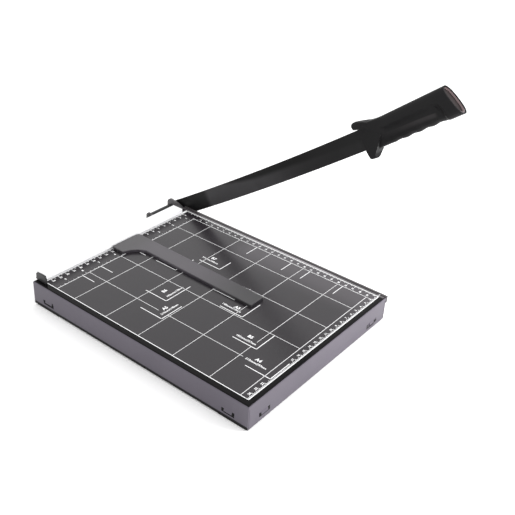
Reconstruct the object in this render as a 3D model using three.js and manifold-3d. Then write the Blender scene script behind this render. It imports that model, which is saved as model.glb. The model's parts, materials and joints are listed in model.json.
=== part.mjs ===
// A guillotine paper cutter: a folded steel board with a fence, a sliding paper gauge,
// a bed knife on the right-hand edge and a lever blade that swings on a pin behind it.
// Millimetres. While the pieces are made, X runs to the right with the cut edge at 0,
// Y runs away from the user with the fence face at 0, and Z runs up from the board's top.
import * as THREE from 'three';
import { mergeVertices } from 'three/addons/utils/BufferGeometryUtils.js';
import Module from 'manifold-3d';

const wasm = await Module();
wasm.setup();

// Driving dimensions of the whole cutter
const boardWidth = 252.4;
const frontReach = 307;
const backReach = 11.3;
const wallHeight = 29.7;
const sheet = 1.2;
const openAngle = 33.5;
const pivotBehindFence = 35.5;
const pivotBelowBoard = 6.5;
const pinRadius = 3;

// Clearances and the overrun of every cut
const seatGap = 0.25;
const fitGap = 0.3;
const turnGap = 0.2;
const runFit = 0.08;
const overrun = 2;

// Facets of round forms
const fineSides = 32;
const roundSides = 16;
const foldSteps = 3;
const guardSteps = 4;
const quarterTurn = Math.PI / 2;
const halfTurn = Math.PI;
const fullTurn = Math.PI * 2;
const oneHalf = 1 / 2;

// Bed knife: a ground bar screwed to the right-hand wall
const knifeThickness = 3.1;
const knifeHeight = 8;
const knifeScrewCount = 5;
const knifeScrewInset = 22;
const knifeScrewDrop = 4.6;
const knifeHeadRadius = 2.6;

const trayRight = -(knifeThickness + seatGap);
const trayLeft = trayRight - boardWidth;
const trayFront = -frontReach;
const trayBack = backReach;

// Fence: a white channel, its front lip raised over the slot that the gauge runs in
const fenceHeight = 7;
const fenceDepth = 16.5;
const fenceSheet = 1;
const fenceSlot = 1.65;
const fenceRightInset = 19;
const fenceLeftInset = 10.2;
const fenceFootStart = 3.4;
const fenceBend = 0.9;
const fenceRivetCount = 4;
const fenceRivetInset = 8;
const fenceRivetSetback = 5.9;

const fenceLeft = trayLeft + fenceLeftInset;
const fenceRight = -fenceRightInset;

// Pivot stack, outwards from the cut edge
const bladeGap = 0.3;
const bladeThickness = 2.5;
const washerThickness = 1;
const springLength = 5.6;
const pinEndReach = 1.2;

const bladeLeft = bladeGap;
const bladeRight = bladeLeft + bladeThickness;

const wall = {
  foldRadius: 2,
  slit: 0.5,
  slitStart: 3.6,
};

const lance = {
  fromCorner: 25.5,
  width: 16,
  height: 4.6,
  rise: 5.9,
  sideSlit: 0.9,
  lowSlit: 1.4,
  lean: 0.9,
  root: 0.7,
};

const foot = {
  arm: 38,
  thickness: 7.2,
  height: 15,
  drop: 2.2,
  cornerRadius: 1,
  lugHeight: 1.4,
  lugDepth: 2.85,
};

const screw = {
  headRadius: 3,
  headHeight: 1.9,
  shankRadius: 1.5,
  domeShare: 0.55,
  slotWidth: 0.8,
  slotReach: 1.9,
  slotDepth: 0.9,
};

const nut = {
  acrossFlats: 5.2,
  thickness: 2.4,
};

const rivet = {
  shankRadius: 1.3,
  headRadius: 2.1,
  headHeight: 0.8,
};

// Shared material list
const paint = (color, roughness, metalness) =>
  new THREE.MeshStandardMaterial({ color, roughness, metalness });
const material = {
  board: paint(0x46444a, 0.42, 0.3),
  footRubber: paint(0x2b2b2d, 0.85, 0),
  white: paint(0xf1f1f2, 0.4, 0.1),
  blackMetal: paint(0x232325, 0.38, 0.5),
  steel: paint(0xa7a5a3, 0.3, 1),
  zinc: paint(0xb9b8b4, 0.35, 1),
  gauge: paint(0x5f5c62, 0.55, 0),
  grip: paint(0x232223, 0.5, 0),
  cap: paint(0x6d6260, 0.5, 0),
};

// Geometry helpers

function cleaned(geometry) {
  const bare = geometry.clone();
  for (const name of Object.keys(bare.attributes)) if (name !== 'position') bare.deleteAttribute(name);
  const merged = mergeVertices(bare);
  const kept = [];
  const index = merged.index.array;
  for (let i = 0; i < index.length; i += 3) {
    const [a, b, c] = [index[i], index[i + 1], index[i + 2]];
    if (a !== b && b !== c && c !== a) kept.push(a, b, c);
  }
  merged.setIndex(kept);
  return merged;
}

function solidOf(geometry) {
  const merged = cleaned(geometry);
  return new wasm.Manifold(new wasm.Mesh({
    numProp: 3,
    vertProperties: new Float32Array(merged.attributes.position.array),
    triVerts: new Uint32Array(merged.index.array),
  }));
}

function geometryOf(solid) {
  const mesh = solid.getMesh();
  const geometry = new THREE.BufferGeometry();
  geometry.setAttribute('position', new THREE.BufferAttribute(new Float32Array(mesh.vertProperties), 3));
  geometry.setIndex(new THREE.BufferAttribute(new Uint32Array(mesh.triVerts), 1));
  geometry.computeVertexNormals();
  return geometry;
}

function cut(geometry, ...tools) {
  return geometryOf(tools.reduce((body, tool) => body.subtract(solidOf(tool)), solidOf(geometry)));
}

function join(geometry, ...others) {
  return geometryOf(others.reduce((body, other) => body.add(solidOf(other)), solidOf(geometry)));
}

function common(geometry, other) {
  return geometryOf(solidOf(geometry).intersect(solidOf(other)));
}

function block(x0, x1, y0, y1, z0, z1) {
  const box = new THREE.BoxGeometry(x1 - x0, y1 - y0, z1 - z0);
  return box.translate((x0 + x1) * oneHalf, (y0 + y1) * oneHalf, (z0 + z1) * oneHalf);
}

function outline(points, hole) {
  const shape = new THREE.Shape(points.map(([x, y]) => new THREE.Vector2(x, y)));
  if (hole) shape.holes.push(hole);
  return shape;
}

function raised(shape, z0, z1, curveSegments = foldSteps) {
  const geometry = new THREE.ExtrudeGeometry(shape, { depth: z1 - z0, bevelEnabled: false, curveSegments });
  return geometry.translate(0, 0, z0);
}

// A profile drawn in Y and Z, swept along X
function alongX(shape, x0, x1, curveSegments = foldSteps) {
  const turn = new THREE.Matrix4().makeBasis(
    new THREE.Vector3(0, 1, 0), new THREE.Vector3(0, 0, 1), new THREE.Vector3(1, 0, 0));
  return raised(shape, x0, x1, curveSegments).applyMatrix4(turn);
}

// A rod along X around a line at the given Y and Z
function rodX(radius, x0, x1, y, z, sides = fineSides) {
  const rod = new THREE.CylinderGeometry(radius, radius, x1 - x0, sides).rotateZ(quarterTurn);
  return rod.translate((x0 + x1) * oneHalf, y, z);
}

function rodY(radius, y0, y1, x, z, sides = roundSides) {
  return new THREE.CylinderGeometry(radius, radius, y1 - y0, sides).translate(x, (y0 + y1) * oneHalf, z);
}

function rodZ(radius, z0, z1, x, y, sides = roundSides) {
  const rod = new THREE.CylinderGeometry(radius, radius, z1 - z0, sides).rotateX(quarterTurn);
  return rod.translate(x, y, (z0 + z1) * oneHalf);
}

function turned(profile, sides = roundSides) {
  const points = profile.map(([radius, height]) => new THREE.Vector2(radius, height));
  return new THREE.LatheGeometry(points, sides).rotateX(quarterTurn);
}

// A screw along Z: shoulder at 0, head above it, shank below it, with a cross recess
function screwGeometry(length, sunk, shankRadius = screw.shankRadius, headRadius = screw.headRadius) {
  const { headHeight, domeShare, slotWidth, slotReach, slotDepth } = screw;
  const head = sunk
    ? [[shankRadius, -(headRadius - shankRadius)], [headRadius, 0], [0, 0]]
    : [[shankRadius, 0], [headRadius, 0], [headRadius, headHeight * domeShare],
      [headRadius * domeShare, headHeight], [0, headHeight]];
  const body = turned([[0, -length], [shankRadius, -length], ...head]);
  const top = sunk ? 0 : headHeight;
  const half = slotWidth * oneHalf;
  const bars = [
    block(-slotReach, slotReach, -half, half, top - slotDepth, top + overrun),
    block(-half, half, -slotReach, slotReach, top - slotDepth, top + overrun),
  ];
  return cut(body, ...bars);
}

// A rivet along Z that clamps what lies between two heights
function rivetGeometry(low, high) {
  const { shankRadius, headRadius, headHeight } = rivet;
  return turned([[0, low - headHeight], [headRadius, low - headHeight], [headRadius, low], [shankRadius, low],
    [shankRadius, high], [headRadius, high], [headRadius, high + headHeight], [0, high + headHeight]]);
}

function hexagon(acrossFlats) {
  const radius = acrossFlats * oneHalf / Math.cos(halfTurn / 6);
  const corners = Array.from({ length: 6 }, (_, i) => (i + oneHalf) * fullTurn / 6);
  return corners.map((angle) => [radius * Math.cos(angle), radius * Math.sin(angle)]);
}

// A hexagon nut along Z from 0 to its thickness, bored to clear its screw
function nutGeometry(acrossFlats, thickness, boreRadius) {
  const bore = new THREE.Path().absarc(0, 0, boreRadius, 0, fullTurn, true);
  return raised(outline(hexagon(acrossFlats), bore), 0, thickness, roundSides);
}

function evenly(count, from, to) {
  return Array.from({ length: count }, (_, i) => from + (to - from) * i / (count - 1));
}

const cutter = new THREE.Group();

function piece(name, geometry, look, parent = cutter) {
  const mesh = new THREE.Mesh(cleaned(geometry), look.clone());
  mesh.name = name;
  parent.add(mesh);
  return mesh;
}

// Screw and rivet places that more than one piece follows
const knifeScrewPlaces = evenly(knifeScrewCount, trayFront + knifeScrewInset, trayBack - knifeScrewInset);
const fenceRivetPlaces = evenly(fenceRivetCount, fenceLeft + fenceRivetInset, fenceRight - fenceRivetInset);

// Pivot bracket: a plate on the back wall with two ears that carry the pin
const bracket = {
  sheet: 3,
  outerEar: 4.3,
  innerEar: 46.4,
  plateTop: 3.4,
  plateBottom: 26.5,
  earBack: 6.2,
  earTop: 10.2,
  earSlope: 3,
  earCorner: 6.4,
  innerNose: 4.7,
  earFoot: 16.5,
  innerEarSheet: 2.6,
  screwColumns: [13, 25, 37],
  screwDrop: 11,
};
const bracketFront = trayBack + seatGap;
const bracketBack = bracketFront + bracket.sheet;
const bracketScrewPlaces = bracket.screwColumns.map((x) => [-x, -bracket.screwDrop]);

// The board: a tray folded down on four sides, with lanced tabs that grip the corner feet

function hood(inset, top, bottom, radius) {
  const arch = (low, high) => {
    const shape = new THREE.Shape();
    shape.moveTo(low, bottom);
    shape.lineTo(high, bottom);
    shape.lineTo(high, top - radius);
    shape.absarc(high - radius, top - radius, radius, 0, quarterTurn, false);
    shape.lineTo(low + radius, top);
    shape.absarc(low + radius, top - radius, radius, quarterTurn, halfTurn, false);
    return shape;
  };
  const alongSides = alongX(arch(trayFront + inset, trayBack - inset),
    trayLeft - overrun, trayRight + overrun);
  const acrossFront = raised(arch(trayLeft + inset, trayRight - inset),
    -trayBack - overrun, overrun - trayFront);
  return common(alongSides, acrossFront.rotateX(quarterTurn));
}

// The four walls, each with the turn that takes "inwards" from +X to its own direction
const boardMidX = (trayLeft + trayRight) * oneHalf;
const boardMidY = (trayFront + trayBack) * oneHalf;
const leftWall = { turn: 0, x: trayLeft, y: boardMidY, half: (trayBack - trayFront) * oneHalf };
const frontWall = { turn: quarterTurn, x: boardMidX, y: trayFront, half: boardWidth * oneHalf };
const rightWall = { turn: halfTurn, x: trayRight, y: boardMidY, half: leftWall.half };
const backWall = { turn: -quarterTurn, x: boardMidX, y: trayBack, half: frontWall.half };

// Each tab as its wall and which end of it: along the wall's own turned Y
const tabPlaces = [
  [leftWall, -1], [leftWall, 1], [frontWall, -1], [frontWall, 1],
  [rightWall, -1], [rightWall, 1], [backWall, -1],
];

function onWall(geometry, [side, end]) {
  geometry.translate(0, end * (side.half - lance.fromCorner), 0);
  return geometry.rotateZ(side.turn).translate(side.x, side.y, 0);
}

const lanceBottom = lance.rise - wallHeight;
const lanceTop = lanceBottom + lance.height;

function lanceWindow(place) {
  const half = lance.width * oneHalf;
  return onWall(block(-overrun, sheet + overrun, -half, half, lanceBottom, lanceTop), place);
}

function lanceTab(place) {
  const half = lance.width * oneHalf - lance.sideSlit;
  const low = lanceBottom + lance.lowSlit;
  const high = lanceTop + lance.root;
  const profile = outline([[0, high], [-lance.lean, low], [sheet - lance.lean, low], [sheet, high]]);
  const tab = raised(profile, -half, half).rotateX(quarterTurn);
  return onWall(tab, place);
}

function cornerSlits() {
  const { slit, slitStart } = wall;
  const slits = [];
  for (const x of [trayLeft + sheet, trayRight - sheet - slit]) {
    for (const y of [trayFront, trayBack - sheet]) {
      slits.push(block(x, x + slit, y - overrun, y + sheet + overrun, -wallHeight - overrun, -slitStart));
    }
  }
  return slits;
}

const shankHole = screw.shankRadius + fitGap;
const rivetHole = rivet.shankRadius + fitGap;

function trayHoles() {
  const knifeHoles = knifeScrewPlaces.map((y) =>
    rodX(shankHole, trayRight - sheet - overrun, trayRight + overrun, y, -knifeScrewDrop, roundSides));
  const fenceHoles = fenceRivetPlaces.map((x) =>
    rodZ(rivetHole, -sheet - overrun, overrun, x, fenceRivetSetback));
  const bracketHoles = bracketScrewPlaces.map(([x, z]) =>
    rodY(shankHole, trayBack - sheet - overrun, trayBack + overrun, x, z));
  return [...knifeHoles, ...fenceHoles, ...bracketHoles];
}

function buildTray() {
  const outside = hood(0, 0, -wallHeight, wall.foldRadius);
  const inside = hood(sheet, -sheet, -wallHeight - overrun, wall.foldRadius - sheet);
  const shell = cut(outside, inside, ...cornerSlits(), ...tabPlaces.map(lanceWindow), ...trayHoles());
  piece('base_tray', join(shell, ...tabPlaces.map(lanceTab)), material.board);
}

// Corner feet: soft L-shaped blocks inside the walls, whose lugs press into the windows behind the tabs

function buildFeet() {
  const top = foot.height - wallHeight - foot.drop;
  const bottom = -wallHeight - foot.drop;
  const inset = sheet + seatGap;
  const half = lance.width * oneHalf - fitGap;
  const lugLow = lanceBottom + fitGap;
  const lugFace = inset + overrun - foot.lugDepth;
  const lugs = tabPlaces.map((place) => {
    const lug = onWall(block(lugFace, inset + overrun, -half, half, lugLow, lugLow + foot.lugHeight), place);
    lug.computeBoundingBox();
    return { lug, middle: lug.boundingBox.getCenter(new THREE.Vector3()) };
  });
  const corners = { front_left: [1, 1], front_right: [-1, 1], back_left: [1, -1], back_right: [-1, -1] };
  for (const [name, [sx, sy]] of Object.entries(corners)) {
    const x = sx > 0 ? trayLeft + inset : trayRight - inset;
    const y = sy > 0 ? trayFront + inset : trayBack - inset;
    const near = Math.min(foot.cornerRadius, foot.thickness);
    const corner = [[near, 0], [foot.arm, 0], [foot.arm, foot.thickness],
      [foot.thickness, foot.thickness], [foot.thickness, foot.arm], [0, foot.arm], [0, near]];
    const plan = outline(corner.map(([a, b]) => [x + sx * a, y + sy * b]));
    const ownLugs = lugs.filter(({ middle }) => Math.hypot(middle.x - x, middle.y - y) < foot.arm);
    piece(`corner_foot_${name}`, join(raised(plan, bottom, top), ...ownLugs.map(({ lug }) => lug)),
      material.footRubber);
  }
}

// Two hat-section stiffeners under the board, spot-welded by their flanges

const stiffener = {
  sheet: 1,
  height: 11,
  crown: 18,
  flange: 9,
  sideInset: 9,
  depthShares: [0.36, 0.68],
};

function buildStiffeners() {
  const { sheet: t, height, crown, flange, sideInset } = stiffener;
  const c = crown * oneHalf;
  const f = c + flange;
  const path = [
    [-f, 0], [-f, -t], [-c, -t], [-c, -height], [c, -height], [c, -t], [f, -t], [f, 0],
    [c - t, 0], [c - t, t - height], [t - c, t - height], [t - c, 0],
  ];
  stiffener.depthShares.forEach((share, i) => {
    const y = trayFront + (trayBack - trayFront) * share;
    const rib = alongX(outline(path), trayLeft + sideInset, trayRight - sideInset);
    piece(`deck_stiffener_${i + 1}`, rib.translate(0, y, -sheet - seatGap), material.board);
  });
}

// Bed knife with its countersunk screws and the nuts behind the wall

function buildBedKnife() {
  const bar = block(-knifeThickness, 0, trayFront, trayBack, -knifeHeight, 0);
  const sinks = knifeScrewPlaces.map((y) => {
    const bore = rodX(shankHole, -knifeThickness - overrun, overrun, y, -knifeScrewDrop, roundSides);
    const mouth = knifeHeadRadius + fitGap;
    const cone = new THREE.CylinderGeometry(0, mouth, mouth, roundSides).rotateZ(quarterTurn);
    return join(bore, cone.translate(-mouth * oneHalf, y, -knifeScrewDrop));
  });
  piece('bed_knife', cut(bar, ...sinks), material.steel);
  const grip = knifeThickness + seatGap + sheet;
  const length = grip + nut.thickness + seatGap + nut.thickness * oneHalf;
  knifeScrewPlaces.forEach((y, i) => {
    const fastener = screwGeometry(length, true, screw.shankRadius, knifeHeadRadius).rotateY(quarterTurn);
    piece(`knife_screw_${i + 1}`, fastener.translate(-turnGap, y, -knifeScrewDrop), material.zinc);
    const backing = nutGeometry(nut.acrossFlats, nut.thickness, shankHole).rotateY(-quarterTurn);
    piece(`knife_nut_${i + 1}`, backing.translate(-grip - seatGap, y, -knifeScrewDrop), material.zinc);
  });
}

// Sizes of the upright tab that closes the fence's left end

const endStop = {
  sheet: 2,
  inset: 5,
  height: 9.5,
  reach: 5.8,
  cornerRadius: 4.5,
  footSheet: 1,
  footReach: 13,
  footBack: 12,
};
const endStopFootLow = seatGap + fenceSheet + seatGap;
const endStopFootHigh = endStopFootLow + endStop.footSheet;

// Fence: one folded channel, its foot screwed down through the board

function buildFence() {
  const { cos, sin } = Math;
  const t = fenceSheet;
  const bend = (y, z, radius, from, to) => evenly(foldSteps + 1, from, to)
    .map((angle) => [y + radius * cos(angle), z + radius * sin(angle)]);
  const r = fenceBend;
  const path = [
    [0, fenceSlot],
    ...bend(r, fenceHeight - r, r, halfTurn, quarterTurn),
    ...bend(fenceDepth - r, fenceHeight - r, r, quarterTurn, 0),
    [fenceDepth, seatGap], [fenceFootStart, seatGap], [fenceFootStart, seatGap + t],
    [fenceDepth - t, seatGap + t], [fenceDepth - t, fenceHeight - t], [t, fenceHeight - t], [t, fenceSlot],
  ];
  const rail = alongX(outline(path.reverse()), fenceLeft, fenceRight);
  const holes = fenceRivetPlaces.map((x) =>
    rodZ(rivetHole, -overrun, seatGap + t + overrun * oneHalf, x, fenceRivetSetback));
  piece('fence_rail', cut(rail, ...holes), material.white);
  fenceRivetPlaces.forEach((x, i) => {
    const clamped = i === 0 ? endStopFootHigh : seatGap + t;
    const fastener = rivetGeometry(-sheet - seatGap, clamped + seatGap);
    piece(`fence_rivet_${i + 1}`, fastener.translate(x, fenceRivetSetback, 0), material.zinc);
  });
}

// End stop: the tab stands on a foot that the fence's first rivet also holds

function buildEndStop() {
  const { sheet: t, inset, height, reach, cornerRadius, footReach, footBack } = endStop;
  const x0 = trayLeft + inset;
  const back = trayBack - seatGap;
  const plate = new THREE.Shape();
  plate.moveTo(-reach, seatGap);
  plate.lineTo(back, seatGap);
  plate.lineTo(back, height - cornerRadius * oneHalf);
  plate.absarc(back - cornerRadius * oneHalf, height - cornerRadius * oneHalf, cornerRadius * oneHalf, 0,
    quarterTurn, false);
  plate.lineTo(-reach + cornerRadius, height);
  plate.absarc(-reach + cornerRadius, height - cornerRadius, cornerRadius, quarterTurn, halfTurn, false);
  const upright = alongX(plate, x0, x0 + t, roundSides);
  const base = block(x0, fenceLeft + footReach, fenceFootStart, footBack, endStopFootLow, endStopFootHigh);
  const hole = rodZ(rivetHole, -overrun, height, fenceRivetPlaces[0], fenceRivetSetback);
  piece('fence_end_stop', cut(join(upright, base), hole), material.blackMetal);
}

// Pivot bracket

function earProfile() {
  const { earBack, earTop, earSlope, earCorner, earFoot } = bracket;
  const back = pivotBehindFence + earBack;
  const top = earTop - pivotBelowBoard;
  const shape = new THREE.Shape();
  shape.moveTo(bracketFront, -bracket.plateBottom);
  shape.lineTo(bracketBack + earFoot * oneHalf, -bracket.plateBottom);
  shape.lineTo(back, -pivotBelowBoard - earBack);
  shape.lineTo(back, top - earCorner);
  shape.absarc(back - earCorner, top - earCorner, earCorner, 0, quarterTurn, false);
  shape.lineTo(bracketFront + earFoot * oneHalf, top - earSlope);
  shape.lineTo(bracketFront, -bracket.plateTop);
  return shape;
}

function innerEarProfile() {
  const { innerNose } = bracket;
  const shape = new THREE.Shape();
  shape.moveTo(bracketFront, -bracket.plateBottom);
  shape.lineTo(bracketBack, -bracket.plateBottom);
  shape.lineTo(pivotBehindFence + innerNose, -pivotBelowBoard - innerNose);
  shape.absarc(pivotBehindFence, -pivotBelowBoard, innerNose, 0, quarterTurn, false);
  shape.lineTo(bracketFront, -pivotBelowBoard);
  return shape;
}

function buildBracket() {
  const outerX = -bracket.outerEar;
  const innerX = -bracket.innerEar;
  const plate = block(innerX, outerX + bracket.sheet, bracketFront, bracketBack,
    -bracket.plateBottom, -bracket.plateTop);
  const outerEar = alongX(earProfile(), outerX, outerX + bracket.sheet, roundSides * oneHalf);
  const innerEar = alongX(innerEarProfile(), innerX, innerX + bracket.innerEarSheet, roundSides * oneHalf);
  const pinHole = rodX(pinRadius + runFit, innerX - overrun, overrun, pivotBehindFence, -pivotBelowBoard);
  const holes = bracketScrewPlaces.map(([x, z]) =>
    rodY(shankHole, bracketFront - overrun, bracketBack + overrun, x, z));
  piece('pivot_bracket', cut(join(plate, outerEar, innerEar), pinHole, ...holes), material.blackMetal);
  const grip = seatGap + bracket.sheet + sheet;
  const length = grip + seatGap + seatGap + nut.thickness * (1 + oneHalf);
  bracketScrewPlaces.forEach(([x, z], i) => {
    const fastener = screwGeometry(length, false).rotateX(-quarterTurn);
    piece(`bracket_screw_${i + 1}`, fastener.translate(x, bracketBack + seatGap, z), material.zinc);
    const backing = nutGeometry(nut.acrossFlats, nut.thickness, shankHole).rotateX(quarterTurn);
    piece(`bracket_nut_${i + 1}`, backing.translate(x, trayBack - sheet - seatGap, z), material.zinc);
  });
}

// Pivot stack: pin, washers, the spring that presses the blade to the bed knife, and the lock nut

const stack = {
  washerRadius: 5.2,
  outerWasherRadius: 4,
  threadRadius: 2,
  wireRadius: 0.5,
  coilRadius: 2.9,
  curls: 2.5,
  stepsPerCurl: 8,
  wireSides: 5,
  lockNutFlats: 6.6,
  lockNutThickness: 3.2,
  lockNutCollar: 2.9,
  lockNutCollarHeight: 1,
  pinChamfer: 0.5,
};
const innerWasherLeft = -washerThickness;
const outerWasherLeft = bladeRight + fitGap;
const springLeft = outerWasherLeft + washerThickness + fitGap;
const springWasherLeft = springLeft + springLength + fitGap;
const lockNutLeft = springWasherLeft + washerThickness + fitGap;
const pinRight = lockNutLeft + stack.lockNutThickness + stack.lockNutCollarHeight + pinEndReach;
const pinLeft = -bracket.innerEar - pinEndReach;

class Helix extends THREE.Curve {
  constructor(radius, from, to, curls) {
    super();
    Object.assign(this, { radius, from, to, curls });
  }

  getPoint(share, target = new THREE.Vector3()) {
    const angle = share * this.curls * fullTurn;
    const x = this.from + (this.to - this.from) * share;
    return target.set(x, this.radius * Math.cos(angle), this.radius * Math.sin(angle));
  }
}

function leastSelfGap(curve, curls, wireRadius) {
  const samples = curls * fineSides;
  const points = Array.from({ length: samples + 1 }, (_, i) => curve.getPoint(i / samples));
  let least = Infinity;
  points.forEach((a, i) => {
    for (let j = i + fineSides * oneHalf; j <= samples; j += 1) {
      least = Math.min(least, a.distanceTo(points[j]));
    }
  });
  return least - wireRadius - wireRadius;
}

function washer(name, x, radius, boreRadius) {
  const bore = new THREE.Path().absarc(0, 0, boreRadius, 0, fullTurn, true);
  const ring = new THREE.Shape().absarc(0, 0, radius, 0, fullTurn, false);
  ring.holes.push(bore);
  const geometry = alongX(ring, x, x + washerThickness, roundSides);
  piece(name, geometry.translate(0, pivotBehindFence, -pivotBelowBoard), material.zinc);
}

function buildStack() {
  const { wireRadius, coilRadius, curls, stepsPerCurl, wireSides } = stack;
  const chamfer = stack.pinChamfer;
  const { threadRadius } = stack;
  const step = outerWasherLeft - turnGap;
  const bore = threadRadius + turnGap;
  const pin = turned([[0, pinLeft], [pinRadius - chamfer, pinLeft], [pinRadius, pinLeft + chamfer],
    [pinRadius, step], [threadRadius, step], [threadRadius, pinRight - chamfer],
    [threadRadius - chamfer, pinRight], [0, pinRight]], fineSides);
  pin.rotateY(quarterTurn).translate(0, pivotBehindFence, -pivotBelowBoard);
  piece('pivot_pin', pin, material.steel);
  washer('inner_blade_washer', innerWasherLeft, stack.washerRadius, pinRadius + turnGap);
  washer('outer_blade_washer', outerWasherLeft, stack.outerWasherRadius, bore);
  washer('spring_washer', springWasherLeft, stack.outerWasherRadius, bore);

  const wire = new THREE.Shape().absarc(0, 0, wireRadius, 0, fullTurn, false);
  const coil = new Helix(coilRadius, springLeft + wireRadius, springLeft + springLength - wireRadius, curls);
  const steps = Math.round(curls * stepsPerCurl);
  const spring = new THREE.ExtrudeGeometry(new THREE.Shape(wire.getPoints(wireSides).slice(0, wireSides)),
    { steps, extrudePath: coil, bevelEnabled: false });
  spring.translate(0, pivotBehindFence, -pivotBelowBoard);
  piece('pressure_spring', spring, material.steel);
  console.log('least gap of the spring to itself, mm:', leastSelfGap(coil, curls, wireRadius).toFixed(2));

  const nutBody = nutGeometry(stack.lockNutFlats, stack.lockNutThickness, bore);
  const collarTop = stack.lockNutThickness + stack.lockNutCollarHeight;
  const collar = cut(rodZ(stack.lockNutCollar, stack.lockNutThickness * oneHalf, collarTop, 0, 0, fineSides),
    rodZ(bore, -overrun, collarTop + overrun, 0, 0, roundSides));
  const lockNut = join(nutBody, collar).rotateY(quarterTurn);
  piece('lock_nut', lockNut.translate(lockNutLeft, pivotBehindFence, -pivotBelowBoard), material.zinc);
}

// The arm's own frame: u runs along the arm from the pivot, v across it and w to the left
const arm = new THREE.Group();
const openRadians = THREE.MathUtils.degToRad(openAngle);
arm.position.set(0, pivotBehindFence, -pivotBelowBoard);
arm.quaternion.setFromRotationMatrix(new THREE.Matrix4().makeBasis(
  new THREE.Vector3(0, -Math.cos(openRadians), Math.sin(openRadians)),
  new THREE.Vector3(0, Math.sin(openRadians), Math.cos(openRadians)),
  new THREE.Vector3(-1, 0, 0)));
cutter.add(arm);

// Blade: a bowed strip with a ground bevel on its outer side, an eye and a tang
const blade = {
  eyeRadius: 5,
  heel: 12,
  heelOverlap: 3,
  rootRadius: 8.6,
  rootAlong: 2,
  rootBelow: 4.2,
  topSag: 3.3,
  topSagAt: 105,
  edgeSag: 19.8,
  edgeSagAt: 125,
  bowRadius: 5300,
  bevel: 3.4,
  shoulder: 349,
  tangTop: 5.4,
  tangBottom: 8,
  tangEnd: 374,
  stations: 22,
};

const topEdge = (u) => blade.topSag + (u - blade.topSagAt) ** 2 / (blade.bowRadius + blade.bowRadius);
const cutEdge = (u) => -blade.edgeSag + (u - blade.edgeSagAt) ** 2 / (blade.bowRadius + blade.bowRadius);

// A closed skin through rings of points, with flat caps on both ends
function skin(rings) {
  const sides = rings[0].length;
  const points = rings.flat(2);
  const index = [];
  for (let i = 0; i + 1 < rings.length; i += 1) {
    for (let j = 0; j < sides; j += 1) {
      const a = i * sides + j;
      const b = i * sides + (j + 1) % sides;
      index.push(a, b, b + sides, a, b + sides, a + sides);
    }
  }
  const last = (rings.length - 1) * sides;
  for (let j = 1; j + 1 < sides; j += 1) index.push(0, j + 1, j, last, last + j, last + j + 1);
  const geometry = new THREE.BufferGeometry();
  geometry.setAttribute('position', new THREE.Float32BufferAttribute(points, 3));
  geometry.setIndex(index);
  return geometry;
}

function bladeStrip() {
  const w0 = -bladeRight;
  const w1 = -bladeLeft;
  const rings = evenly(blade.stations, blade.heel, blade.shoulder).map((u) => [
    [u, cutEdge(u), w1], [u, cutEdge(u) + blade.bevel, w0], [u, topEdge(u), w0], [u, topEdge(u), w1],
  ]);
  return skin(rings);
}

const dowelSetback = 12;
const dowelDrop = 2;
const dowelPlace = [blade.tangEnd - dowelSetback, -dowelDrop];
const dowelRadius = 1.9;
const dowelHalf = 5;

function tangShape(growth) {
  const top = blade.tangTop + growth;
  const bottom = -blade.tangBottom - growth;
  const end = blade.tangEnd + growth;
  const start = blade.shoulder - blade.bevel;
  return outline([[start, bottom], [end - top, bottom], [end, 0], [end - top * oneHalf, top], [start, top]]);
}

function buildBlade() {
  const w0 = -bladeRight;
  const w1 = -bladeLeft;
  const eye = rodZ(blade.eyeRadius, w0, w1, 0, 0, fineSides);
  const root = rodZ(blade.rootRadius, w0, w1, blade.rootAlong, -blade.rootBelow, fineSides);
  const neckEnd = blade.heel + blade.heelOverlap;
  const rootLow = -blade.rootBelow - blade.rootRadius;
  const neck = raised(outline([[blade.rootAlong, rootLow], [neckEnd, cutEdge(neckEnd) + blade.bevel],
    [neckEnd, topEdge(neckEnd)], [blade.rootAlong, blade.rootRadius - blade.rootBelow]]), w0, w1);
  const tang = raised(tangShape(0), w0, w1);
  const body = join(bladeStrip(), neck, root, eye, tang);
  const hole = rodZ(pinRadius + runFit, w0 - overrun, w1 + overrun, 0, 0, fineSides);
  const dowelHole = rodZ(dowelRadius + fitGap, w0 - overrun, w1 + overrun, ...dowelPlace);
  piece('blade', cut(body, hole, dowelHole), material.blackMetal, arm);
}

// Grip: an oval moulding that swells to its end and flares to a squarer section at its guard,
// with a stepped finger hold below a curved line
const grip = {
  start: 346,
  end: 470,
  slopeFrom: 358,
  crownAtStart: 13.1,
  crownRise: 0.078,
  bellyAtStart: 17.8,
  bellyRise: 0.06,
  halfWidthAtStart: 7.4,
  halfWidthRise: 0.006,
  ovalPower: 2.5,
  flareLength: 28,
  flareLeft: 3.8,
  flareRight: 1.4,
  flareRise: 2.2,
  flareSquare: 5,
  stepDepth: 1.7,
  stepBlend: 1.2,
  stepLow: -1.6,
  stepHigh: 4.6,
  stepFrom: 366,
  stepPeak: 424,
  holdEnd: 443.5,
  holdRadius: 7,
  waveDepth: 0.5,
  waveLength: 17,
  waveFrom: 366,
  collarDrop: 1.2,
  endTop: 450.4,
  endTopHeight: 20.3,
  endSlope: 19.3,
  rim: 1.4,
  capDepth: 7.2,
  capSink: 2.4,
  capLip: 0.4,
  capWall: 0.7,
  stations: 46,
  sides: 30,
};
const gripMid = 0.1;

const smooth = (value) => {
  const x = Math.min(Math.max(value, 0), 1);
  return x * x * (3 - x - x);
};

// How far a place lies inside the finger hold, as a share of the full step
function holdShare(u, v) {
  const along = Math.min(Math.max((u - grip.stepFrom) / (grip.stepPeak - grip.stepFrom), 0), 1);
  const rise = Math.sin(quarterTurn * along);
  const line = grip.stepLow + (grip.stepHigh - grip.stepLow) * rise;
  const down = line - v;
  const back = grip.holdEnd - u;
  const r = grip.holdRadius;
  const inside = down < r && back < r ? r - Math.hypot(r - down, r - back) : Math.min(down, back);
  return smooth(inside / grip.stepBlend);
}

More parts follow.
